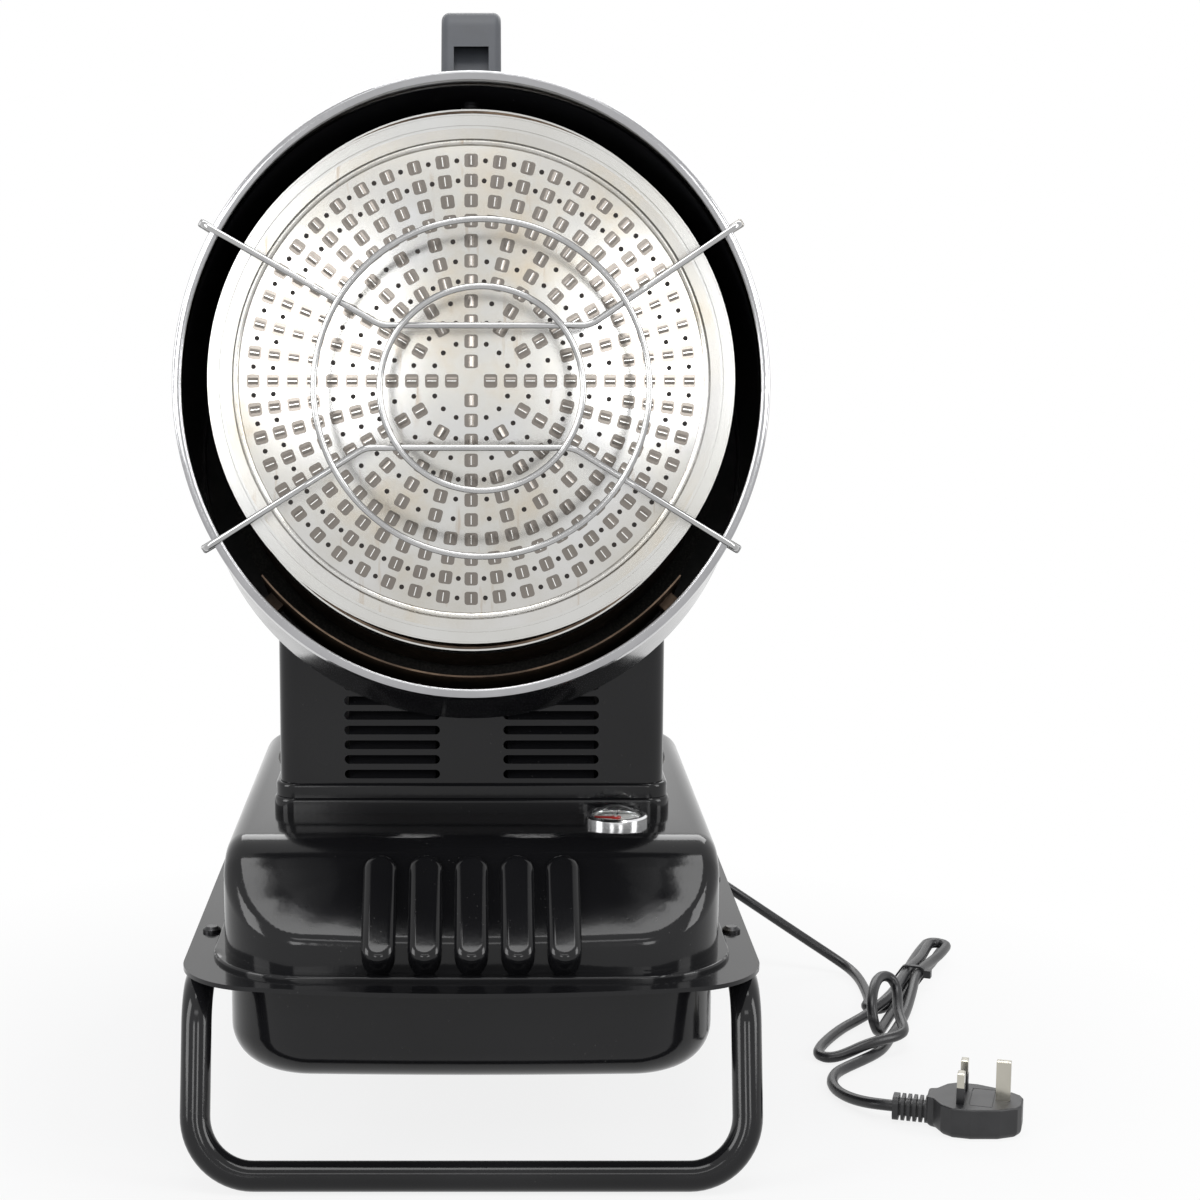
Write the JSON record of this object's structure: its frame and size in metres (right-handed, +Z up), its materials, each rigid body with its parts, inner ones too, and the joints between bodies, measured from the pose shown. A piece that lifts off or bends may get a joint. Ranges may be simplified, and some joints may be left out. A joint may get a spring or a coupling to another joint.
{
  "type": "infrared diesel heater",
  "caption": "Portable oil-fired radiant heater: a round forward-facing burner drum with louvred disc and wire guard, on a louvred housing, over a pressed fuel tank and a bent tube stand",
  "frame": {"origin": "on the floor, under the middle of the heater without its mains lead", "axes": "+Z up, the radiating disc faces -Y, +X to the right seen from the front"},
  "size_m": [0.486, 0.4666, 0.604],
  "materials": {
    "black_enamel": "high gloss black enamel",
    "black_steel": "satin black, heat darkened",
    "bright_rim": "polished chrome",
    "guard_wire": "polished chrome wire",
    "radiant_steel": "bright rolled stainless with straw heat tint",
    "hot_steel": "heat browned steel",
    "zinc_steel": "zinc plated",
    "handle_plastic": "matt moulded plastic",
    "black_plastic": "satin moulded plastic",
    "seal_rubber": "matt rubber",
    "clear_lens": "clear moulded acrylic",
    "dial_face": "satin printed dial",
    "pointer_red": "red moulded pointer",
    "cast_metal": "die cast",
    "fan_plastic": "moulded plastic",
    "brass_nozzle": "machined brass",
    "copper_pipe": "drawn tube",
    "ceramic": "glazed ceramic",
    "board_green": "coated circuit board",
    "cord_sheath": "black PVC sheath"
  },
  "bodies": {
    "heater": {"air_diffuser": "hot_steel", "air_duct": "black_steel", "burner_tube": "hot_steel", "carrying_handle": "handle_plastic", "chamber_collar": "radiant_steel", "combustion_chamber": "hot_steel", "control_board": "board_green", "cord_gland": "black_plastic", "cord_hank": "cord_sheath", "cord_lead": "cord_sheath", "cord_tail": "cord_sheath", "cord_tie": "black_plastic", "drain_plug": "zinc_steel", "drum_back": "black_steel", "drum_rim": "bright_rim", "drum_shell": "black_enamel", "fan_motor": "cast_metal", "filler_neck": "zinc_steel", "filler_strainer": "fan_plastic", "flame_sensor": "fan_plastic", "front_stand": "black_enamel", "fuel_filter": "fan_plastic", "fuel_nozzle": "brass_nozzle", "fuel_pipe": "copper_pipe", "fuel_pump": "cast_metal", "gauge_body": "zinc_steel", "gauge_dial": "dial_face", "gauge_lens": "clear_lens", "guard_clips": "zinc_steel", "handle_screws": "zinc_steel", "heat_shield": "hot_steel", "housing_cover": "black_enamel", "housing_screws": "zinc_steel", "housing_shell": "black_enamel", "ignition_electrodes": "ceramic", "ignition_transformer": "fan_plastic", "motor_mount": "zinc_steel", "nozzle_holder": "zinc_steel", "pickup_pipe": "copper_pipe", "plug_body": "black_plastic", "plug_pins": "bright_rim", "radiating_disc": "radiant_steel", "rear_panel": "black_enamel", "rear_stand": "black_enamel", "reflector_ring": "radiant_steel", "stand_end_plugs": "black_plastic", "stand_screws": "zinc_steel", "switch_bezel": "black_plastic", "tank_lower_shell": "black_enamel", "tank_upper_shell": "black_enamel", "thermostat": "cast_metal", "wire_guard": "guard_wire"},
    "cap": {"filler_cap": "black_plastic", "cap_seal": "seal_rubber"},
    "pointer": {"gauge_pointer": "pointer_red"},
    "float": {"gauge_float": "fan_plastic"},
    "rocker": {"power_rocker": "black_plastic"},
    "knob": {"thermostat_knob": "black_plastic"},
    "fan": {"fan_wheel": "fan_plastic", "motor_shaft": "zinc_steel"}
  },
  "joints": [
    {"name": "cap_lift", "type": "slide", "parent": "heater", "child": "cap", "axis": [0, 0, 1], "range_m": [0, 0.04]},
    {"name": "float_swing", "type": "hinge", "parent": "heater", "child": "float", "pos_m": [0.0798, -0.082, 0.112], "axis": [0, 1, 0], "range_deg": [0, 65]},
    {"name": "pointer_turn", "type": "hinge", "parent": "heater", "child": "pointer", "pos_m": [0.0798, -0.082, 0.1745], "axis": [0, 0, 1], "range_deg": [-97.5, 0]},
    {"name": "switch_rock", "type": "hinge", "parent": "heater", "child": "rocker", "pos_m": [-0.034, 0.1172, 0.226], "axis": [1, 0, 0], "range_deg": [0, 20]},
    {"name": "thermostat_turn", "type": "hinge", "parent": "heater", "child": "knob", "pos_m": [0.02, 0.125, 0.226], "axis": [0, 1, 0], "range_deg": [0, 270]},
    {"name": "fan_spin", "type": "hinge", "parent": "heater", "child": "fan", "pos_m": [0, 0.02533, 0.33442], "axis": [0, -0.9336, 0.3584], "continuous": true}
  ],
  "couplings": [
    {"joint": "pointer_turn", "follows": "float_swing", "ratio": -1.5}
  ]
}
